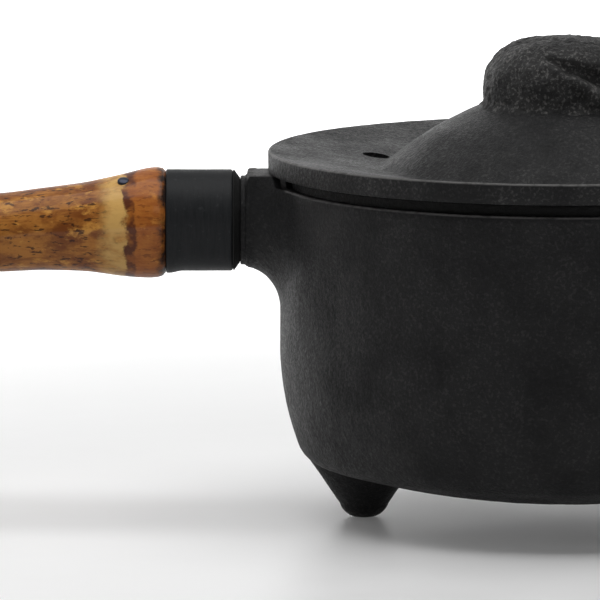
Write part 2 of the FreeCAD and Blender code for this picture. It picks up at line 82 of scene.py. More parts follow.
# %% [markdown]
# ## Drawing an outline
# A turned piece is one half outline.  Corners are listed in order; a third number on a
# corner is the radius of the arc that reaches it, positive when the arc bends left.
# `trace` walks the outline and drops a point at every small step, so that the surface
# has enough points to carry the unevenness of a real casting.

# %% Trace lines and arcs


def arc_points(start, end, radius, pitch):
    """Points from just after start to end, along an arc; a negative radius bends right."""
    chord = end - start
    side = math.copysign(1, radius)
    half = chord.length / 2
    rise = math.sqrt(radius * radius - half * half)
    centre = (start + end) / 2 + Vector((-chord.y, chord.x)).normalized() * side * rise
    sweep = 2 * math.asin(half / abs(radius)) * side
    count = max(2, round(abs(sweep * radius) / pitch))
    spoke = start - centre
    return [centre + Matrix.Rotation(sweep * step / count, 2) @ spoke
            for step in range(1, count + 1)]


def trace(corners, pitch):
    """Evenly spaced points along an outline of lines and arcs."""
    points = [Vector(corners[0][:2])]
    for corner in corners[1:]:
        here, there = points[-1], Vector(corner[:2])
        if len(corner) == 3:
            points += arc_points(here, there, corner[2], pitch)
        else:
            count = max(1, round((there - here).length / pitch))
            points += [here.lerp(there, step / count) for step in range(1, count + 1)]
    return points


# %% [markdown]
# ## Turning an outline
# Casting patterns, ferrules and sticks all begin as turned shapes.  `skin` joins rings
# of points into a surface, and `turned` makes the rings by spinning an outline, either
# round the pot's upright axis or round the handle's level one.

# %% Turn outlines into surfaces


def skin(name, rings, looped=False):
    """A mesh object from rings of points; a ring of one point closes the surface there."""
    mesh = bmesh.new()
    loops = [[mesh.verts.new(point) for point in ring] for ring in rings]
    pairs = list(zip(loops, loops[1:])) + ([(loops[-1], loops[0])] if looped else [])
    for low, high in pairs:
        for side in range(max(len(low), len(high))):
            ahead = side + 1
            corners = [low[side % len(low)], low[ahead % len(low)],
                       high[ahead % len(high)], high[side % len(high)]]
            mesh.faces.new(list(dict.fromkeys(corners)))
    bmesh.ops.recalc_face_normals(mesh, faces=mesh.faces)
    piece = bpy.data.objects.new(name, bpy.data.meshes.new(name))
    mesh.to_mesh(piece.data)
    mesh.free()
    bpy.context.scene.collection.objects.link(piece)
    return piece


def upright(radius, height, angle):
    return spot(radius * math.cos(angle), radius * math.sin(angle), height)


def level(radius, out, angle):
    """Round the handle's axis: out is the distance from the pot's axis, towards the grip."""
    return spot(-out, radius * math.cos(angle), HANDLE_Z + radius * math.sin(angle))


def turned(name, outline, place, spokes, looped=False):
    """Spin an outline of (radius, along) points."""
    rings = []
    for radius, along in outline:
        count = spokes if radius > 0.01 else 1
        rings.append([place(radius if count > 1 else 0, along, math.tau * spoke / count)
                      for spoke in range(count)])
    return skin(name, rings, looped)


# %% [markdown]
# ## Joining and cutting
# On the real pot the handle neck is one casting with the wall, and the strainer holes
# and the steam hole are drilled.  Exact booleans do both and leave a clean closed skin.
# The tool object is thrown away afterwards.

# %% Cut and join helpers


def combine(piece, tool, operation):
    """Join the tool to the piece ("UNION") or take it away ("DIFFERENCE")."""
    change = piece.modifiers.new(operation.lower(), "BOOLEAN")
    change.object = tool
    change.operation = operation
    change.solver = "EXACT"
    shaped = piece.evaluated_get(bpy.context.evaluated_depsgraph_get())
    result = bpy.data.meshes.new_from_object(shaped)
    piece.modifiers.clear()
    piece.data = result
    bpy.data.objects.remove(tool)


def drill(piece, start, end, radius, sides=40):
    """Take a straight round hole out of a piece."""
    axis = (end - start).normalized()
    across = axis.orthogonal().normalized()
    beside = axis.cross(across)
    rings = [[start]]
    for middle in (start, end):
        rings.append([middle + (across * math.cos(math.tau * side / sides)
                                + beside * math.sin(math.tau * side / sides)) * radius
                      for side in range(sides)])
    rings.append([end])
    combine(piece, skin("drill", rings), "DIFFERENCE")


# %% [markdown]
# ## A cast skin
# Molten iron copies the sand it is poured against, so no face is quite even.  `cast`
# presses the surface in by small amounts of noise at a few sizes.  It only presses
# inwards, which keeps the piece inside its measured size.  Then it shades the piece
# smooth and keeps real corners sharp.

# %% Cast skin


def smooth(piece, corner=38):
    """Smooth shading, with edges sharper than the corner angle kept crisp."""
    piece.data.shade_smooth()
    piece.data.set_sharp_from_angle(angle=math.radians(corner))


def cast(piece, layers, corner=38, inward=0.5):
    """Press the skin in by layers of (bump size in mm, depth in mm)."""
    mesh = piece.data
    moved = []
    for vertex in mesh.vertices:
        depth = sum(deep * (inward + 0.5 * noise.noise(vertex.co / (size * MM)))
                    for size, deep in layers)
        moved.append(vertex.co - vertex.normal * depth * MM)
    for vertex, place in zip(mesh.vertices, moved):
        vertex.co = place
    smooth(piece, corner)
    print(piece.name, len(mesh.polygons), "faces, grain", layers)


# %% [markdown]
# ## The vessel
# The outside is nearly a straight tube that tucks in below the middle and turns a tight
# corner into a shallow dished base.  On top there is a small shoulder and a collar that
# the lid sits on.  The wall is 4 mm thick.  The inside is drawn with wider steps,
# because it is smooth and seldom seen.

# %% Vessel sizes
WALL = 67.2
TAPER_START, TAPER_ROUND = 41.0, 65.0
CORNER_LEVEL = 17.0
BASE_LOW, BASE_ROUND, BASE_REACH = 5.1, 205.0, 58.6
FLOOR_LOW, FLOOR_ROUND = 9.6, 200.5
SHOULDER, RIM = 79.4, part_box("pot_body")[1].z / MM
COLLAR, MOUTH, INNER = 65.2, 61.6, 63.2
MOUTH_LOW = 78.6
FLOOR_CORNER, FLOOR_REACHES = 22.0, 54.0


def dish(radius, low, dish_round):
    """Height of a shallow dish at a radius."""
    return low + dish_round - math.sqrt(dish_round ** 2 - radius ** 2)


def tucked(height, taper):
    """Radius of the tucked-in lower wall at a height."""
    return WALL - TAPER_ROUND + math.sqrt(taper ** 2 - (TAPER_START - height) ** 2)


# %% Turn the vessel
outside = trace([
    (0, BASE_LOW),
    (BASE_REACH, dish(BASE_REACH, BASE_LOW, BASE_ROUND), BASE_ROUND),
    (tucked(CORNER_LEVEL, TAPER_ROUND), CORNER_LEVEL, 6.3),
    (WALL, TAPER_START, TAPER_ROUND),
    (WALL, SHOULDER - 0.6),
    (WALL - 0.6, SHOULDER, 0.9),
    (COLLAR, SHOULDER),
    (COLLAR, RIM - 0.3),
    (COLLAR - 0.3, RIM, 0.4),
    (MOUTH + 0.3, RIM),
    (MOUTH, RIM - 0.3, 0.4),
    (MOUTH, MOUTH_LOW),
], 1.2)
inside = trace([
    (MOUTH, MOUTH_LOW),
    (INNER, 76.0),
    (INNER, TAPER_START),
    (tucked(FLOOR_CORNER, 61.0), FLOOR_CORNER, -61.0),
    (FLOOR_REACHES, dish(FLOOR_REACHES, FLOOR_LOW, FLOOR_ROUND), -9.0),
    (0, FLOOR_LOW, -FLOOR_ROUND),
], 2.6)
vessel = turned("vessel", outside + inside[1:], upright, 320)
print("vessel", len(outside), "rings outside", len(inside), "inside")

# %% [markdown]
# ## The handle neck
# A flared stub stands out from the wall to carry the handle.  Its end is turned, with a
# slightly smaller ring where it was faced.  Behind that ring the stub carries a saddle:
# a flat strip on top, level with the rim, whose flanks run down on to the round stub.
# Nearer the pot the stub widens in a fillet that runs out flat on the round wall, so
# each ring of the flare is measured out from the wall.  Beside the saddle the flare is
# level with the shoulder.  An exact union makes stub and wall one casting.

# %% Neck
NECK_END = -span("pot_body")[0].x
STUB_RADIUS, FLARE_WIDE, FLARE_HIGH, STUB_ROOT = 11.0, 10.0, 9.0, 75.0
NECK_SPOKES = 180
SADDLE_HALF, SADDLE_HIGH = 7.8, RIM - 0.03 - HANDLE_Z


def wall_radius(height):
    return tucked(height, TAPER_ROUND) if height < TAPER_START else WALL


def saddled(radius, angle):
    """Radius of the stub at an angle once the saddle's flanks are drawn tight on to it."""
    corner = math.hypot(SADDLE_HALF, SADDLE_HIGH)
    if radius > corner or math.sin(angle) <= 0:
        return radius
    touch = math.atan2(SADDLE_HIGH, SADDLE_HALF) - math.acos(radius / corner)
    steep = math.asin(math.sin(angle))
    if steep < touch:
        return radius
    return min(radius / math.cos(min(steep - touch, 1.4)), SADDLE_HIGH / math.sin(angle))


def ease(low, high, value):
    """0 below low, 1 above high and a soft slope between."""
    share = min(1.0, max(0.0, (value - low) / (high - low)))
    return share * share * (3 - 2 * share)


def neck_top(y):
    """The highest the neck may be at a distance from its middle: saddle, then shoulder."""
    return RIM - 0.03 - (RIM - SHOULDER) * ease(SADDLE_HALF, SADDLE_HALF + 4.2, abs(y))


def neck_ring(radius, out_from, saddle=1.0):
    """A ring round the handle's axis; saddle says how much of the saddle has risen."""
    ring = []
    for spoke in range(NECK_SPOKES):
        angle = math.tau * (spoke + 0.5) / NECK_SPOKES
        wide = radius + (saddled(radius, angle) - radius) * saddle
        y, z = wide * math.cos(angle), HANDLE_Z + wide * math.sin(angle)
        ring.append(spot(-out_from(y, z), y, min(z, neck_top(y))))
    return ring


def from_wall(high):
    """Distance out from the pot's axis of a skin that stands high above the round wall."""
    return lambda y, z: math.sqrt(wall_radius(z) ** 2 - y * y) + high


FACED_RADIUS = 10.6
stub = trace([
    (FACED_RADIUS - 0.3, NECK_END),
    (FACED_RADIUS, NECK_END - 0.3),
    (FACED_RADIUS, STUB_ROOT + 0.4),
    (STUB_RADIUS, STUB_ROOT),
], 0.4)
neck_rings = [[spot(-NECK_END, 0, HANDLE_Z)]]
neck_rings += [neck_ring(radius, lambda y, z, out=out: out, saddle=0.0) for radius, out in stub]
for back, rise in ((0.15, 0.55), (0.5, 0.8), (1.2, 0.94), (2.2, 1.0)):
    neck_rings.append(neck_ring(STUB_RADIUS, lambda y, z, out=STUB_ROOT - back: out, rise))
for step in range(21):
    turn = math.radians(9 + 81 * step / 20)
    neck_rings.append(neck_ring(STUB_RADIUS + FLARE_WIDE * (1 - math.cos(turn)),
                                from_wall(FLARE_HIGH * (1 - math.sin(turn)))))
neck_rings.append(neck_ring(STUB_RADIUS + FLARE_WIDE, from_wall(-2.5)))
neck_rings.append([spot(-64.0, 0, HANDLE_Z)])
combine(vessel, skin("neck", neck_rings), "UNION")
print("neck from", round(NECK_END, 1), "mm out")

# %% [markdown]
# ## The strainer
# Seven small holes through the wall behind the spout hold back the leaves.

# %% Strainer holes
STRAINER_HEIGHT, STRAINER_PITCH, STRAINER_HOLE = 55.0, 7.0, 2.1
hole_places = [(0, 0)] + [(STRAINER_PITCH * math.cos(math.tau * k / 6),
                           STRAINER_PITCH * math.sin(math.tau * k / 6)) for k in range(6)]
for across, up in hole_places:
    height = STRAINER_HEIGHT + up
    drill(vessel, spot(across, 55, height), spot(across, 75, height), STRAINER_HOLE * MM, 24)
cast(vessel, [(22, 0.10), (5.0, 0.09), (2.2, 0.07)])
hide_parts("pot_body")

# %% [markdown]
# ## The feet
# Each foot is a rounded cone that grows out of the vessel's lower corner.  Its tip is
# worn flat.  The top of each foot stops just under the vessel's skin, so it follows
# the dish of the base.

# %% Feet
FOOT_ROOT, FOOT_TALL = 13.9, 15.0
foot_outline = trace([
    (0, 0),
    (2.6, 0),
    (5.9, 3.2, 4.7),
    (FOOT_ROOT, FOOT_TALL),
    (0, FOOT_TALL),
], 0.55)
FOOT_SINK = 1.4
FOOT_CIRCLE = 47.3
CORNER_SLOPE = 1.6


def vessel_height(radius):
    """Height of the vessel's outside skin above a point of the base."""
    if radius < BASE_REACH:
        return dish(radius, BASE_LOW, BASE_ROUND)
    return dish(BASE_REACH, BASE_LOW, BASE_ROUND) + (radius - BASE_REACH) * CORNER_SLOPE


feet = []
for node in ("foot_handle_side", "foot_front", "foot_back"):
    low, high = span(node)
    toe = Vector((FOOT_CIRCLE, 0)) * (1 if low.x > 0 else -1)
    if node != "foot_handle_side":
        toe = Matrix.Rotation(math.radians(60 if node == "foot_back" else -60), 2) @ toe

    def around_toe(radius, height, angle):
        x, y = toe.x + radius * math.cos(angle), toe.y + radius * math.sin(angle)
        return spot(x, y, min(height, vessel_height(math.hypot(x, y)) + FOOT_SINK))

    foot = turned(node.replace("foot", "cast_foot"), foot_outline, around_toe, 72)
    cast(foot, [(6.0, 0.25), (2.2, 0.12)], corner=60)
    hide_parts(node)
    feet.append(foot)

# %% [markdown]
# ## The spout
# The spout is a short leaning cone, open at the top and cut level so that it pours
# cleanly.  Every line up its side starts in the vessel's wall and stops at the level
# lip.  A little extra metal at the root is the fillet that a casting needs, and the lip
# is rounded over.

# %% Spout
SPOUT_ROOT = Vector((0, 58.0, 44.0))
SPOUT_LEAN = math.radians(40)
SPOUT_RISE = Vector((0, math.sin(SPOUT_LEAN), math.cos(SPOUT_LEAN)))
SPOUT_BESIDE = Vector((1, 0, 0))
SPOUT_OVER = SPOUT_RISE.cross(SPOUT_BESIDE)
SPOUT_LENGTH, SPOUT_WIDE, SPOUT_NARROW, SPOUT_WALL = 60.0, 14.0, 7.4, 2.6
SPOUT_TOP = span("spout")[1].z
WALL_BITE = 0.9


def spout_point(along, inset, angle, flare=0.0):
    """A point on the cone; along runs from the cone's wide end."""
    radius = SPOUT_WIDE + (SPOUT_NARROW - SPOUT_WIDE) * along / SPOUT_LENGTH - inset + flare
    out = SPOUT_BESIDE * math.cos(angle) + SPOUT_OVER * math.sin(angle)
    return SPOUT_ROOT + SPOUT_RISE * along + out * radius


def reach(test, angle, inset, flare=0.0):
    """How far up the cone a line must go before the test is met."""
    low, high = -20.0, SPOUT_LENGTH + 20
    for _ in range(40):
        middle = (low + high) / 2
        if test(spout_point(middle, inset, angle, flare)):
            high = middle
        else:
            low = middle
    return high


def out_of_wall(point):
    return math.hypot(point.x, point.y) > wall_radius(point.z) - WALL_BITE


# %% Skin the spout
SPOUT_SPOKES, SPOUT_ROWS = 96, 46
FLARE, FLARE_REACH = 3.2, 5.5
LIP = 0.9
# share of the way across the lip, drop below its top in lips
lip_steps = [(0.12, 0.55), (0.3, 0.2), (0.5, 0.05), (0.7, 0.2), (0.88, 0.55)]


def spout_side(inset, fillet):
    """Columns of points from the wall to just under the lip, on one face of the tube."""
    columns = []
    for spoke in range(SPOUT_SPOKES):
        angle = math.tau * spoke / SPOUT_SPOKES
        start = reach(out_of_wall, angle, inset, fillet)
        stop = reach(lambda point: point.z > SPOUT_TOP - LIP, angle, inset)
        column = []
        for row in range(SPOUT_ROWS):
            share = (row / (SPOUT_ROWS - 1)) ** 1.35
            along = start + (stop - start) * share
            flare = fillet * math.exp(-(along - start) / FLARE_REACH)
            column.append(spout_point(along, inset, angle, flare))
        columns.append(column)
    return columns


outer, inner = spout_side(0, FLARE), spout_side(SPOUT_WALL, 0.6)
rings = [[column[row] for column in outer] for row in range(SPOUT_ROWS)]
for share, drop in lip_steps:
    ring = []
    for out, into in zip(outer, inner):
        point = out[-1].lerp(into[-1], share)
        point.z = SPOUT_TOP - LIP * drop
        ring.append(point)
    rings.append(ring)
rings += [[column[row] for column in inner] for row in reversed(range(SPOUT_ROWS))]
spout = skin("cast_spout", [[spot(*point) for point in ring] for ring in rings], looped=True)
cast(spout, [(14, 0.10), (4.0, 0.10), (1.8, 0.06)])
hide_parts("spout")

# %% [markdown]
# ## The lid
# The lid is a heavy ring with a square edge.  From the edge it falls gently to a
# trough, then climbs in a long sweep to the boss under the knob.  A ring below drops
# inside the mouth and keeps the lid in place.

# %% Lid plate
LID_UNDER, LID_RIM = RIM + 0.2, 70.0
LID_EDGE_TOP = LID_UNDER + 5.1
DOME_FOOT, DOME_ROUND = 43.2, 89.0
BOSS, BOSS_UNDER, BOSS_RADIUS = 98.0, 94.4, 19.4
STUD_HOLE = 2.5
LOCATOR_INSIDE, LOCATOR_OUTSIDE, LOCATOR_LOW = 57.3, 60.9, 78.2
lid_outline = trace([
    (STUD_HOLE, BOSS_UNDER),
    (BOSS_RADIUS, BOSS_UNDER),
    (DOME_FOOT, 79.8, -DOME_ROUND),
    (LOCATOR_INSIDE, 80.9),
    (LOCATOR_INSIDE, 78.6),
    (57.7, LOCATOR_LOW, 0.5),
    (60.5, LOCATOR_LOW),
    (LOCATOR_OUTSIDE, 78.6, 0.5),
    (LOCATOR_OUTSIDE, LID_UNDER),
], 2.0)[:-1]
lid_outline += trace([
    (LOCATOR_OUTSIDE, LID_UNDER),
    (LID_RIM - 0.35, LID_UNDER),
    (LID_RIM, LID_UNDER + 0.35, 0.4),
    (LID_RIM, LID_EDGE_TOP - 0.5),
    (LID_RIM - 0.5, LID_EDGE_TOP, 0.8),
    (DOME_FOOT + 1.0, 83.55),
    (DOME_FOOT - 0.8, 84.05, -2.8),
    (BOSS_RADIUS, BOSS, DOME_ROUND),
    (STUD_HOLE, BOSS),
    (STUD_HOLE, BOSS_UNDER),
], 1.1)[:-1]
lid = turned("lid_dish", lid_outline, upright, 340, looped=True)

# %% [markdown]
# The steam hole is drilled straight down through the trough.

# %% Steam hole
VENT_RADIUS, VENT_CIRCLE, VENT_ANGLE = 3.2, 47.2, math.radians(160)
vent_x, vent_y = VENT_CIRCLE * math.cos(VENT_ANGLE), VENT_CIRCLE * math.sin(VENT_ANGLE)
drill(lid, spot(vent_x, vent_y, 70), spot(vent_x, vent_y, 100), VENT_RADIUS * MM)
cast(lid, [(20, 0.08), (4.5, 0.09), (2.0, 0.07)])
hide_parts("lid_plate")

# %% [markdown]
# ## The knob
# The knob is cast rough, like a pebble with a fold in it.  It starts as a turned dome
# with a small fillet at its foot.  Then a curved groove is pressed in from the front
# round to the right: shallow and pointed at its start, wide at the side, and pointed
# again behind.  The metal above the groove swells into a brow and the metal below it
# swells into a smooth lump.

# %% Turn the knob
knob_low, knob_high = span("lid_knob")
KNOB_R, KNOB_TOP = knob_high.x, knob_high.z
knob_outline = trace([
    (0, BOSS - 1.0),
    (KNOB_R + 1.7, BOSS - 1.0),
    (KNOB_R + 0.2, BOSS + 1.2, -3.0),
    (KNOB_R, BOSS + 5.0),
    (18.75, 105.4, 10.0),
    (11.8, 112.6, 12.0),
    (0, KNOB_TOP, 60.0),
], 0.42)
knob = turned("knob", knob_outline, upright, 250)

# %% Press the fold into the knob
# azimuth in degrees from the front towards +X, height of the fold, its width, its depth
FOLD = [(-24, 110.6, 0.5, 0.0), (-14, 109.7, 1.4, 0.7), (0, 108.5, 2.8, 1.9), (27, 105.6, 4.7, 3.0),
        (70, 103.7, 4.8, 3.0), (115, 104.6, 3.4, 2.0), (150, 107.0, 1.2, 0.6), (165, 108.0, 0.5, 0.0)]


def fold_at(azimuth):
    """Height, width and depth of the fold at an azimuth, or None away from it."""
    for before, after in zip(FOLD, FOLD[1:]):
        if before[0] <= azimuth <= after[0]:
            share = ease(before[0], after[0], azimuth)
            return [a + (b - a) * share for a, b in zip(before[1:], after[1:])]
    return None


def fold_press(place):
    """How far the knob's skin is pressed in at a place, in mm; negative swells out."""
    x, y = (place.x - AXIS_X) / MM, (place.y - AXIS_Y) / MM
    wander = 0.5 * noise.noise(place / (6 * MM))
    fold = fold_at(math.degrees(math.atan2(x, -y)) + 5 * wander)
    if fold is None:
        return 0.0
    height, width, depth = fold
    up = (place.z / MM - height - wander) / (width / 2)
    groove = ease(-1.5, -0.2, up) * (1 - ease(0.45, 1.05, up))
    brow = ease(0.6, 1.3, up) * (1 - ease(1.3, 3.6, up))
    lump = ease(-4.2, -2.2, up) * (1 - ease(-1.9, -0.9, up))
    return depth * (groove - 0.30 * brow - 0.34 * lump)


for vertex, place in [(v, v.co - v.normal * fold_press(v.co) * MM) for v in knob.data.vertices]:
    vertex.co = place
knob.data.update()
cast(knob, [(8.0, 0.7), (3.0, 0.5), (1.5, 0.5), (0.9, 0.35)], corner=80, inward=0.0)
for vertex in knob.data.vertices:
    vertex.co.z = min(vertex.co.z, KNOB_TOP * MM)
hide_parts("lid_knob")

# %% [markdown]
# ## Between the neck and the grip
# A thin dark ring seats the handle's sleeve on the neck.  It steps up from the neck's
# width to the sleeve's.  The sleeve itself is a matt black ferrule that stops the wood
# from splitting.  Its lower edge on the grip side is slightly hammered out.

# %% Neck washer
BORE = 3.15
WASHER_START = -span("neck_washer")[1].x
WASHER_END = -span("neck_washer")[0].x
washer = turned("neck_ring", trace([
    (BORE, WASHER_START - 0.5),
    (9.4, WASHER_START - 0.5),
    (9.8, WASHER_START - 0.05),
    (10.2, WASHER_START + 0.15, 0.4),
    (11.85, WASHER_END - 0.25),
    (11.75, WASHER_END, 0.3),
    (11.0, WASHER_END + 0.3),
    (BORE, WASHER_END + 0.3),
], 0.3)[:-1], level, 120, looped=True)
cast(washer, [(3.0, 0.06)])
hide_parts("neck_washer")

# %% Ferrule
SLEEVE_END = -span("ferrule")[0].x
SLEEVE_R = span("ferrule")[1].y
sleeve = turned("sleeve", trace([
    (BORE, WASHER_END + 1.5),
    (BORE, WASHER_END),
    (SLEEVE_R - 0.5, WASHER_END),
    (SLEEVE_R, WASHER_END + 0.5, 0.6),
    (SLEEVE_R, SLEEVE_END - 0.35),
    (SLEEVE_R - 0.35, SLEEVE_END, 0.4),
    (10.7, SLEEVE_END),
    (10.7, WASHER_END + 1.5),
    (BORE, WASHER_END + 1.5),
], 0.45)[:-1], level, 150, looped=True)
for vertex in sleeve.data.vertices:
    out = (AXIS_X - vertex.co.x) / MM
    below = ease(-2, -11, vertex.co.z / MM - HANDLE_Z)
    vertex.co.z -= 0.5 * below * ease(SLEEVE_END - 4.0, SLEEVE_END - 0.8, out) * MM
cast(sleeve, [(9.0, 0.10), (2.5, 0.04)], corner=50)
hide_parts("ferrule")

# %% [markdown]
# ## The grip
# The grip is a natural stick of root wood: round, but nowhere exactly straight or the
# same thickness.  A table gives its thickness at a few places along it and how far its
# middle sags there.  A smooth curve through those places is skinned, and then two
# knots and some long shallow ridges are raised on it.

# %% Lay out the grip
GRIP_START = SLEEVE_END
# distance out from the ferrule, diameter, sag of the middle
STICK = [(0.0, 25.0, 0.4), (2.0, 26.1, 0.5), (5.0, 25.9, 0.7), (11.0, 23.9, 1.2), (19.0, 21.1, 1.6),
         (29.0, 19.4, 2.2), (41.0, 18.7, 3.1), (60.0, 19.2, 3.3), (82.0, 21.6, 2.7), (97.0, 22.6, 2.2),
         (104.0, 20.4, 2.0), (106.0, 17.0, 2.0)]
KNOTS = [(17.0, -0.5, 0.30, 3.2), (52.0, 2.3, 0.45, 4.5), (76.0, -1.9, 0.35, 4.0)]


def stick_at(along, column):
    """A smooth value from the table: 1 for diameter, 2 for sag."""
    for index in range(len(STICK) - 1):
        if along <= STICK[index + 1][0]:
            break
    rows = [STICK[max(0, min(len(STICK) - 1, index + step))] for step in (-1, 0, 1, 2)]
    (x0, x1, x2, x3), (y0, y1, y2, y3) = zip(*[(row[0], row[column]) for row in rows])
    share = (along - x1) / (x2 - x1)
    slope_in = (y2 - y0) / max(x2 - x0, 0.1) * (x2 - x1)
    slope_out = (y3 - y1) / max(x3 - x1, 0.1) * (x2 - x1)
    cube, square = share ** 3, share ** 2
    return ((2 * cube - 3 * square + 1) * y1 + (cube - 2 * square + share) * slope_in
            + (3 * square - 2 * cube) * y2 + (cube - square) * slope_out)


def knot_rise(along, angle):
    rise = 0.0
    for place, turn, high, wide in KNOTS:
        around = math.remainder(angle - turn, math.tau) * 10
        rise += high * math.exp(-((along - place) ** 2 + around ** 2) / wide ** 2)
    return rise


# %% Skin the grip
GRIP_LENGTH = -span("grip")[0].x - GRIP_START
GRIP_SPOKES = 140
grip_steps = [0.0, 0.25, 0.6] + [1.0 + 0.8 * k for k in range(round((GRIP_LENGTH - 2.2) / 0.8))]
grip_steps += [GRIP_LENGTH - 0.9, GRIP_LENGTH - 0.4, GRIP_LENGTH - 0.1, GRIP_LENGTH]
rings = []
for along in grip_steps:
    radius, sag = stick_at(along, 1) / 2, stick_at(along, 2)
    radius -= 0.5 * (1 - ease(0.0, 0.7, along))
    ring = []
    for spoke in range(GRIP_SPOKES):
        angle = math.tau * spoke / GRIP_SPOKES
        wave = Vector((along * 0.035, 1.6 * math.cos(angle), 1.6 * math.sin(angle)))
        ridge = 0.22 * noise.noise(wave) + 0.06 * noise.noise(wave * 3.1)
        high = radius + (ridge + knot_rise(along, angle)) * ease(0.5, 9.0, along) - 0.05
        ring.append(spot(-GRIP_START - along, high * math.cos(angle),
                         HANDLE_Z - sag + high * math.sin(angle)))
    rings.append(ring)
for radius, along in ((BORE, GRIP_LENGTH), (BORE, 0.0)):
    rings.append([level(radius, GRIP_START + along, math.tau * spoke / GRIP_SPOKES)
                  for spoke in range(GRIP_SPOKES)])
grip = skin("grip_stick", rings, looped=True)
cast(grip, [(3.0, 0.05), (1.1, 0.04)], corner=50)
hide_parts("grip")

# %% [markdown]
# ## The pin in the collar
# A short pin is driven through the collar, and its round blue-black head stands a
# little proud of the wood.

# %% Pin
PIN_OUT = -(span("grip_pin")[0].x + span("grip_pin")[1].x) / 2
PIN_LEAN = math.radians(28.5)
PIN_UP = Vector((0, -math.sin(PIN_LEAN), math.cos(PIN_LEAN)))
PIN_SIDE = PIN_UP.cross(Vector((1, 0, 0)))


def on_pin(radius, along, angle):
    centre = Vector((-PIN_OUT, 0, HANDLE_Z)) + PIN_UP * along
    return spot(*(centre + (Vector((1, 0, 0)) * math.cos(angle) + PIN_SIDE * math.sin(angle)) * radius))


PIN_RADIUS, PIN_INNER, PIN_HEAD = 1.4, 4.0, 11.5
pin_outline = trace([
    (0, PIN_INNER),
    (PIN_RADIUS, PIN_INNER),
    (PIN_RADIUS, PIN_HEAD - 0.25),
    (1.15, PIN_HEAD, 0.4),
    (0, PIN_HEAD + 0.25, 4.0),
], 0.14)
pin = turned("collar_pin", pin_outline, on_pin, 40)
cast(pin, [(0.8, 0.04)])
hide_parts("grip_pin")

# %% [markdown]
# ## The end of the handle
# The long rod comes out of the butt of the grip, where a washer and a cap nut pull
# everything together.  The washer has rounded rims.  The nut is six flats with its
# corners chamfered away and a polished dome on top.

# %% End washer
PLATE_START, PLATE_END = -span("end_washer")[1].x, -span("end_washer")[0].x
PLATE_R = span("end_washer")[1].y
plate = turned("butt_washer", trace([
    (BORE, PLATE_START),
    (PLATE_R - 0.3, PLATE_START),
    (PLATE_R, PLATE_START + 0.3, 0.35),
    (PLATE_R, PLATE_END - 0.4),
    (PLATE_R - 0.4, PLATE_END, 0.45),
    (BORE, PLATE_END),
], 0.3)[:-1], level, 96, looped=True)
smooth(plate)
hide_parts("end_washer")

# %% Cap nut
NUT_FLAT = 5.0
NUT_DOME_START = PLATE_END + 4.5
nut_outline = trace([(0, PLATE_END), (4.9, PLATE_END), (5.78, PLATE_END + 0.5)], 0.3)
nut_outline += trace([(5.78, PLATE_END + 0.5), (5.78, NUT_DOME_START - 0.7), (5.0, NUT_DOME_START, 1.2),
                      (4.5, NUT_DOME_START + 0.1), (0, NUT_DOME_START + 4.5, 4.5)], 0.3)[1:]


def on_nut(radius, along, angle):
    """Inside six flats: the outline's radius, cut where it would pass a flat."""
    flat_angle = math.remainder(angle - math.pi / 6, math.pi / 3)
    return level(min(radius, NUT_FLAT / math.cos(flat_angle)), along, angle)


nut = turned("cap_nut", nut_outline, on_nut, 120)
smooth(nut, 25)
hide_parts("end_nut")
print("nut", len(nut.data.polygons), "faces")

# %% [markdown]
# ## Wiring a finish
# A finish is a small net of nodes ending in one shader.  `add` puts a node in and wires
# it up in one line.  `Finish` holds the things every finish here needs: positions in
# millimetres, the height and the distance from the pot's axis, and soft noise of a
# chosen size.

# %% Finish helpers


def add(tree, kind, wires=None, **settings):
    """Add a node; each wire is a plain value or another node's output."""
    node = tree.nodes.new(kind)
    for name, value in settings.items():
        setattr(node, name, value)
    for name, value in (wires or {}).items():
        if isinstance(value, bpy.types.NodeSocket):
            tree.links.new(value, node.inputs[name])
        else:
            node.inputs[name].default_value = value
    return node


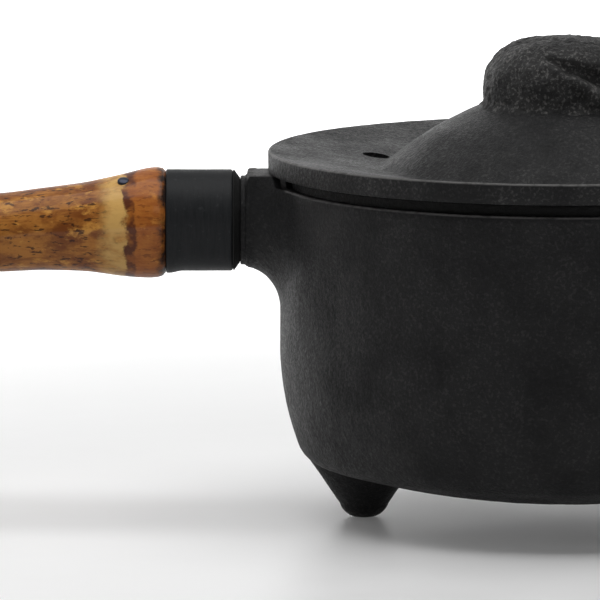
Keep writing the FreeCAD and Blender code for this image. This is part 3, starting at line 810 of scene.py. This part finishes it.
class Finish:
    """A material being mixed for one piece."""

    def __init__(self, name, **sockets):
        self.material = bpy.data.materials.new(name)
        self.material.use_nodes = True
        self.tree = self.material.node_tree
        self.shader = self.tree.nodes["Principled BSDF"]
        for socket, value in sockets.items():
            self.shader.inputs[socket.replace("_", " ")].default_value = value
        place = add(self.tree, "ShaderNodeTexCoord").outputs["Object"]
        moved = add(self.tree, "ShaderNodeVectorMath", {0: place, 1: spot(0, 0, 0)},
                    operation="SUBTRACT")
        scaled = add(self.tree, "ShaderNodeVectorMath", {0: moved.outputs[0], "Scale": 1 / MM},
                     operation="SCALE")
        self.place = scaled.outputs[0]
        self.x, self.y, self.z = add(self.tree, "ShaderNodeSeparateXYZ", {0: self.place}).outputs

    def math(self, operation, a, b=0.0):
        return add(self.tree, "ShaderNodeMath", {0: a, 1: b}, operation=operation).outputs[0]

    def from_axis(self):
        """Distance from the pot's axis, in millimetres."""
        return self.math("SQRT", self.math("ADD", self.math("MULTIPLY", self.x, self.x),
                                           self.math("MULTIPLY", self.y, self.y)))

    def noise(self, size, detail=3.0, rough=0.5, stretch=(1, 1, 1)):
        """Soft noise, 0 to 1, with marks about size millimetres across."""
        place = self.place
        if stretch != (1, 1, 1):
            squeeze = [1 / part for part in stretch]
            squeezed = add(self.tree, "ShaderNodeVectorMath", {0: place, 1: squeeze},
                           operation="MULTIPLY")
            place = squeezed.outputs[0]
        return add(self.tree, "ShaderNodeTexNoise", {
            "Vector": place, "Scale": 1 / size, "Detail": detail, "Roughness": rough}).outputs["Fac"]

    def range(self, value, low, high, to_low=0.0, to_high=1.0):
        """A soft step of a value from low to high, given out between two numbers."""
        return add(self.tree, "ShaderNodeMapRange", {
            "Value": value, "From Min": low, "From Max": high, "To Min": to_low, "To Max": to_high,
        }, interpolation_type="SMOOTHSTEP").outputs["Result"]

    def mix(self, share, under, over, blend="MIX"):
        node = add(self.tree, "ShaderNodeMix", data_type="RGBA", blend_type=blend)
        for index, value in ((0, share), (6, under), (7, over)):
            if isinstance(value, bpy.types.NodeSocket):
                self.tree.links.new(value, node.inputs[index])
            else:
                node.inputs[index].default_value = value if index == 0 else (*value, 1)
        return node.outputs[2]

    def wire(self, socket, value):
        self.tree.links.new(value, self.shader.inputs[socket])

    def bumps(self, *layers):
        """Stack height layers, each (height, depth in mm, strength), into the shader's normal."""
        normal = None
        for height, depth, strength in layers:
            wires = {"Height": height, "Distance": depth * MM, "Strength": strength}
            if normal is not None:
                wires["Normal"] = normal
            normal = add(self.tree, "ShaderNodeBump", wires).outputs["Normal"]
        self.wire("Normal", normal)


def dress(finish, *pieces):
    """Give pieces a finish as their only material."""
    for piece in pieces:
        piece.data.materials.clear()
        piece.data.materials.append(finish.material)


# %% [markdown]
# ## Black cast iron
# Sand-cast iron that has been blackened is near black and dull, with grains a fraction
# of a millimetre across that catch the light.  Broad patches are a little greyer or
# glossier where it has been handled, and a few grains are rubbed to a lighter grey.
# The pot, the lid and the knob share this recipe in different strengths.

# %% Mix the irons


def iron(name, dark, grey, gloss, grain, rubbed, edge=None, recess_shade=None, paler_top=None):
    """Black iron; edge is (radius, height, times paler) of a corner painted paler, partly as
    rubbed wear and partly as a painted highlight along it; recess_shade is (height, radius) of a
    recess, above and inside which painted shade makes it dead black; and paler_top is (height,
    radius): above and outside it the iron is painted paler.  On the pot that takes in the top of
    the handle neck and also the tip of the spout."""
    finish = Finish(name, Specular_IOR_Level=0.16)
    patches = finish.noise(14, 4, 0.6)
    fine = finish.noise(0.8, 5, 0.7)
    pits = finish.noise(1.9, 3, 0.6)
    colour = finish.mix(finish.range(patches, 0.3, 0.7), dark, grey)
    specks = finish.range(finish.noise(0.75, 3, 0.6), 0.50, 0.68)
    worn = finish.math("MULTIPLY", specks, finish.range(patches, 0.35, 0.62, 0.25, 0.9))
    colour = finish.mix(worn, colour, rubbed)
    if edge:
        # A thin paler band along the corner: partly rubbed wear, partly a painted highlight of the
        # bright line of light on it.
        away = finish.math("ABSOLUTE", finish.math("SUBTRACT", finish.from_axis(), edge[0] - 0.1))
        near_radius = finish.range(away, 0.35, 0.8, 1.0, 0.0)
        near_height = finish.range(finish.z, edge[1] - 0.75, edge[1] - 0.3)
        broken = finish.range(finish.noise(2.5, 3, 0.6), 0.25, 0.6, 0.35, 1.0)
        at_edge = finish.math("MULTIPLY", finish.math("MULTIPLY", near_radius, near_height), broken)
        colour = finish.mix(at_edge, colour, [part * edge[2] for part in rubbed])
    if recess_shade:
        # Painted shade: the recess between the collar and the lid is made dead black, as if in shadow.
        shaded_recess = finish.math("MULTIPLY", finish.range(finish.z, recess_shade[0], recess_shade[0] + 0.3),
                                finish.range(finish.from_axis(), recess_shade[1] - 0.5, recess_shade[1], 1.0, 0.0))
        colour = finish.mix(shaded_recess, colour, (0.002, 0.002, 0.002))
    if paler_top:
        # Above this height and outside the wall the iron is painted paler: the top of the neck saddle
        # and the tip of the spout.
        paler_on_top = finish.math("MULTIPLY", finish.range(finish.z, paler_top[0], paler_top[0] + 0.2),
                           finish.range(finish.from_axis(), paler_top[1], paler_top[1] + 0.5, 0.0, 0.8))
        colour = finish.mix(paler_on_top, colour, [part * 2.5 for part in rubbed])
    finish.wire("Base Color", colour)
    shine = finish.range(patches, 0.25, 0.75, gloss[1], gloss[0])
    finish.wire("Roughness", finish.math("ADD", shine, finish.range(fine, 0.35, 0.65, 0.10, -0.10)))
    finish.bumps((pits, 0.38, 0.7 * grain), (fine, 0.27, grain))
    return finish


# The pot's shoulder corner and the lid's top corner are painted paler: rubbed wear and a painted
# highlight.
pot_iron = iron("black_iron", (0.007, 0.007, 0.0075), (0.013, 0.013, 0.0135), (0.46, 0.60), 0.9,
                (0.030, 0.029, 0.029), edge=(WALL, SHOULDER, 4.5), recess_shade=(SHOULDER - 0.1, WALL - 0.8),
                paler_top=(RIM - 0.5, WALL))
lid_iron = iron("lid_iron", (0.007, 0.007, 0.0075), (0.014, 0.014, 0.0145), (0.42, 0.56), 0.85,
                (0.050, 0.049, 0.048), edge=(LID_RIM, LID_EDGE_TOP, 2.6))
knob_iron = iron("knob_iron", (0.011, 0.011, 0.0115), (0.036, 0.0355, 0.035), (0.48, 0.66), 1.3,
                 (0.15, 0.145, 0.14))
dress(pot_iron, vessel, spout, *feet)
dress(lid_iron, lid)
dress(knob_iron, knob)
print("irons mixed")

# %% [markdown]
# ## Black sleeve and ring
# The sleeve is steel under matt black lacquer: smooth, with faint streaks round it and
# a few scuffs.  The ring is a soft black packing that hardly shines at all.

# %% Mix the sleeve and ring finishes
sleeve_black = Finish("ferrule_black", Specular_IOR_Level=0.14)
streaks = sleeve_black.noise(6, 4, 0.65, stretch=(0.12, 1, 1))
scuffs = sleeve_black.range(sleeve_black.noise(1.3, 4, 0.7), 0.58, 0.72)
lacquer = sleeve_black.mix(
    sleeve_black.range(streaks, 0.3, 0.7), (0.010, 0.0112, 0.0125), (0.017, 0.018, 0.0195))
sleeve_black.wire("Base Color", sleeve_black.mix(
    sleeve_black.math("MULTIPLY", scuffs, 0.5), lacquer, (0.04, 0.042, 0.044)))
sleeve_black.wire("Roughness", sleeve_black.range(streaks, 0.2, 0.8, 0.42, 0.58))
sleeve_black.bumps((streaks, 0.08, 0.4), (sleeve_black.noise(0.6, 3, 0.6), 0.05, 0.5))
dress(sleeve_black, sleeve)

ring_black = Finish("black_rubber", Specular_IOR_Level=0.25)
ring_grain = ring_black.noise(1.2, 4, 0.6)
ring_black.wire("Base Color", ring_black.mix(
    ring_black.range(ring_grain, 0.3, 0.7), (0.005, 0.005, 0.005), (0.012, 0.012, 0.012)))
ring_black.wire("Roughness", ring_black.range(ring_grain, 0.2, 0.8, 0.75, 0.9))
ring_black.bumps((ring_grain, 0.06, 0.5))
dress(ring_black, washer)

# %% [markdown]
# ## Root wood
# The stick is varnished root wood.  Its colour wanders between honey and brown in long
# soft patches, with short dark flecks along the grain.  Beside the sleeve the turned
# collar keeps a pale ring, then a scorched ring, then warmer orange wood that darkens
# to a charred line against the metal.  The underside is painted darker, as painted shade.

# %% Mix the wood
wood = Finish("root_wood", Specular_IOR_Level=0.12, Coat_Weight=0.22, Coat_Roughness=0.12)
along = wood.math("SUBTRACT", wood.math("MULTIPLY", wood.x, -1.0), GRIP_START)
mottle = wood.noise(6, 5, 0.65, stretch=(1.6, 1, 1))
grain_lines = wood.noise(1.2, 4, 0.65, stretch=(6, 1, 1))
flecks = wood.noise(0.9, 3, 0.55, stretch=(2.6, 1, 1))
blotches = wood.noise(3.2, 4, 0.65, stretch=(1.5, 1, 1))
HONEY = (0.72, 0.34, 0.065)
TAN = (0.47, 0.185, 0.032)
BROWN = (0.20, 0.056, 0.009)
DARK = (0.035, 0.010, 0.004)
colour = wood.mix(wood.range(mottle, 0.38, 0.62), BROWN, TAN)
colour = wood.mix(wood.range(blotches, 0.52, 0.68, 0.0, 0.8), colour, HONEY)
colour = wood.mix(wood.range(grain_lines, 0.50, 0.66, 0.0, 0.7), colour, BROWN)
colour = wood.mix(wood.range(flecks, 0.57, 0.65, 0.0, 0.85), colour, DARK)
wander = wood.math("MULTIPLY", wood.math("SUBTRACT", wood.noise(4.5, 4, 0.65), 0.5), 5.0)
ringed = wood.math("ADD", along, wander)


def ring_mask(start, full, end_full, end):
    """1 between full and end_full along the stick, fading out to start and end."""
    return wood.math("MULTIPLY", wood.range(ringed, start, full),
                     wood.range(ringed, end_full, end, 1.0, 0.0))


PALE = (0.70, 0.42, 0.13)
SCORCH = (0.10, 0.024, 0.008)
ORANGE = (0.44, 0.12, 0.018)
CHAR = (0.020, 0.012, 0.010)
colour = wood.mix(wood.math("MULTIPLY", ring_mask(-3, -1, 8, 9.5), 0.5), colour, ORANGE)
pale_broken = wood.range(wood.noise(3.0, 3, 0.6, stretch=(2, 1, 1)), 0.32, 0.6, 0.35, 0.95)
colour = wood.mix(wood.math("MULTIPLY", ring_mask(9.0, 10.0, 12.4, 17.0), pale_broken), colour, PALE)
scorch_broken = wood.range(wood.noise(5.5, 3, 0.6), 0.36, 0.54, 0.1, 0.95)
colour = wood.mix(wood.math("MULTIPLY", ring_mask(6.6, 7.6, 9.3, 10.1), scorch_broken), colour, SCORCH)
char_broken = wood.range(wood.noise(3.0, 4, 0.65), 0.32, 0.58, 0.3, 1.0)
charred = wood.math("MULTIPLY", wood.range(ringed, 0.4, 2.4, 1.0, 0.0), char_broken)
colour = wood.mix(charred, colour, CHAR)
# Painted shade: the wood is darkened towards its underside, as if in shadow.
underside_shade = wood.range(wood.z, HANDLE_Z - 13, HANDLE_Z + 9, 0.62, 1.0)
underside_shade_colour = add(wood.tree, "ShaderNodeCombineXYZ", {0: underside_shade, 1: underside_shade, 2: underside_shade}).outputs[0]
wood.wire("Base Color", wood.mix(1.0, colour, underside_shade_colour, "MULTIPLY"))
wood.wire("Roughness", wood.range(mottle, 0.3, 0.7, 0.42, 0.55))
wood.bumps((blotches, 0.25, 0.6), (grain_lines, 0.16, 0.6), (flecks, 0.12, 0.6))
dress(wood, grip)
print("wood mixed")

# %% [markdown]
# ## Steel
# The nut, the washer, the rod and the stud are plain steel with fine turning marks and
# a slight grey film.  The pin's head is the same steel, blued nearly black.

# %% Mix the steels


def metal(name, dark, pale, gloss):
    finish = Finish(name, Metallic=1.0)
    film = finish.noise(3.0, 5, 0.65)
    marks = finish.noise(0.5, 3, 0.6, stretch=(1, 4, 4))
    finish.wire("Base Color", finish.mix(finish.range(film, 0.3, 0.7), dark, pale))
    finish.wire("Roughness", finish.range(film, 0.25, 0.75, *gloss))
    finish.bumps((marks, 0.02, 0.5))
    return finish


steel = metal("steel", (0.36, 0.35, 0.34), (0.55, 0.54, 0.53), (0.28, 0.42))
pin_blue = metal("pin_steel", (0.018, 0.020, 0.028), (0.05, 0.055, 0.075), (0.25, 0.40))
dress(steel, plate, nut, nodes["tang_rod"], nodes["knob_stud"], nodes["stud_washer"])
dress(pin_blue, pin)

# %% [markdown]
# ## Who moves with whom
# The lid lifts off; everything else stays with the pot.  Each new piece rides on its
# body.

# %% Rides and slots
on_pot = [(vessel, "black_iron"), (spout, "black_iron"), (washer, "black_rubber"),
          (sleeve, "ferrule_black"), (grip, "root_wood"), (pin, "pin_steel"),
          (plate, "steel"), (nut, "steel")]
on_pot += [(foot, "black_iron") for foot in feet]
on_lid = [(lid, "lid_iron"), (knob, "knob_iron")]
for body, pieces in (("pot", on_pot), ("lid", on_lid)):
    for piece, slot_name in pieces:
        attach(piece, body)
    print(body, "carries", [piece.name for piece, _ in pieces])

# %% [markdown]
# ## Floor
# The pot stands on a plain pale sheet.  It is slightly satin, and it glows: faintly
# near the pot and more strongly further away, until it is pure white, like a studio
# sweep, but without a wall that would hide the pot from behind.

# %% Floor
FLOOR_REACH = 4.0
floor_rings = [[Vector((AXIS_X, AXIS_Y, 0))]]
for ring in range(1, 25):
    radius = FLOOR_REACH * (ring / 24) ** 2
    floor_rings.append([Vector((AXIS_X + radius * math.cos(math.tau * k / 72),
                                AXIS_Y + radius * math.sin(math.tau * k / 72), 0)) for k in range(72)])
floor = skin("floor", floor_rings)
paper = Finish("pale_paper", Specular_IOR_Level=0.35)
distance = paper.from_axis()
faint = paper.noise(40, 3, 0.5)
paper.wire("Base Color", paper.mix(paper.range(faint, 0.3, 0.7), (0.80, 0.80, 0.80), (0.83, 0.83, 0.83)))
paper.wire("Roughness", paper.range(faint, 0.3, 0.7, 0.38, 0.44))
paper.shader.inputs["Emission Color"].default_value = (1, 1, 1, 1)
# The floor glows with painted light: faint near the pot, nearly white far away.
paper.wire("Emission Strength", paper.range(distance, 150.0, 700.0, 0.08, 0.9))
dress(paper, floor)

# %% [markdown]
# ## Soft studio light
# A wide soft box overhead lights the floor and makes the soft shadow under the pot.
# A narrow strip of light high in front draws a thin bright streak along the varnish,
# and a small box lower in front picks out the lumps of the knob and the neck.

# %% Lights
MIDDLE = spot(-20, 0, 60)


def soft_box(name, place, width, height, power):
    """A rectangular soft light at a place, in metres from the middle of the pot, aimed at it."""
    light = bpy.data.lights.new(name, "AREA")
    light.shape = "RECTANGLE"
    light.size, light.size_y, light.energy = width, height, power
    lamp = bpy.data.objects.new(name, light)
    lamp.location = MIDDLE + Vector(place)
    lamp.rotation_mode = "QUATERNION"
    lamp.rotation_quaternion = (MIDDLE - lamp.location).to_track_quat("-Z", "Y")
    lamp.visible_camera = False
    bpy.context.scene.collection.objects.link(lamp)
    return lamp


soft_box("top_box", (0.0, -0.05, 1.7), 2.4, 1.3, 25)
soft_box("front_strip", (0.1, -0.85, 1.85), 1.6, 0.3, 3)
soft_box("front_box", (0.25, -1.45, 1.0), 0.9, 0.5, 2)

# %% [markdown]
# The room is a bright sweep behind and to the left that fades to near dark in front
# and is dimmer overhead.
# A near-black pot shows its shape by what it mirrors, so this slope of light is what
# draws the pale lid, the bright left edge and the dark front.  Seen directly, the room
# is plain white.

# %% Room
BRIGHT_SIDE = Vector((-0.45, 0.86, 0.22)).normalized()
room = bpy.data.worlds.new("room")
room.use_nodes = True
tree = room.node_tree
looking = add(tree, "ShaderNodeTexCoord").outputs["Generated"]
facing = add(tree, "ShaderNodeVectorMath", {0: looking, 1: BRIGHT_SIDE},
             operation="DOT_PRODUCT").outputs["Value"]
slope = add(tree, "ShaderNodeMapRange", {
    "Value": facing, "From Min": 0.05, "From Max": 0.95, "To Min": 0.05, "To Max": 1.45,
}, interpolation_type="SMOOTHSTEP").outputs["Result"]
overhead = add(tree, "ShaderNodeSeparateXYZ", {0: looking}).outputs["Z"]
fainter = add(tree, "ShaderNodeMapRange", {
    "Value": overhead, "From Min": 0.2, "From Max": 0.55, "To Min": 1.0, "To Max": 0.4,
}, interpolation_type="SMOOTHSTEP").outputs["Result"]
slope = add(tree, "ShaderNodeMath", {0: slope, 1: fainter}, operation="MULTIPLY").outputs[0]
seen = add(tree, "ShaderNodeLightPath").outputs["Is Camera Ray"]
strength = add(tree, "ShaderNodeMix", {"Factor": seen, "A": slope, "B": 1.0},
               data_type="FLOAT").outputs["Result"]
tree.links.new(strength, tree.nodes["Background"].inputs["Strength"])
tree.nodes["Background"].inputs["Color"].default_value = (1, 1, 1, 1)
bpy.context.scene.world = room

# %% [markdown]
# ## Camera
# The camera looks almost level from the front, from far away, so that upright lines
# stay upright.  It stands a little above the pot and sees into the dish of the lid.

# %% Camera
CAMERA_RISE = math.radians(7.5)
CAMERA_AWAY = 2.2
VIEW_WIDTH = 141.176 * MM
SENSOR = 36
aim = spot(-62.4, 0, 51.5)
back = Vector((0, -math.cos(CAMERA_RISE), math.sin(CAMERA_RISE)))
lens = bpy.data.cameras.new("camera")
lens.sensor_width = SENSOR
lens.lens = SENSOR * CAMERA_AWAY / VIEW_WIDTH
lens.clip_end = 50
camera = bpy.data.objects.new("camera", lens)
camera.location = aim + back * CAMERA_AWAY
camera.rotation_mode = "QUATERNION"
camera.rotation_quaternion = (-back).to_track_quat("-Z", "Y")
bpy.context.scene.collection.objects.link(camera)
bpy.context.scene.camera = camera
bpy.context.scene.view_settings.view_transform = "Standard"
print("lens", round(lens.lens), "mm")
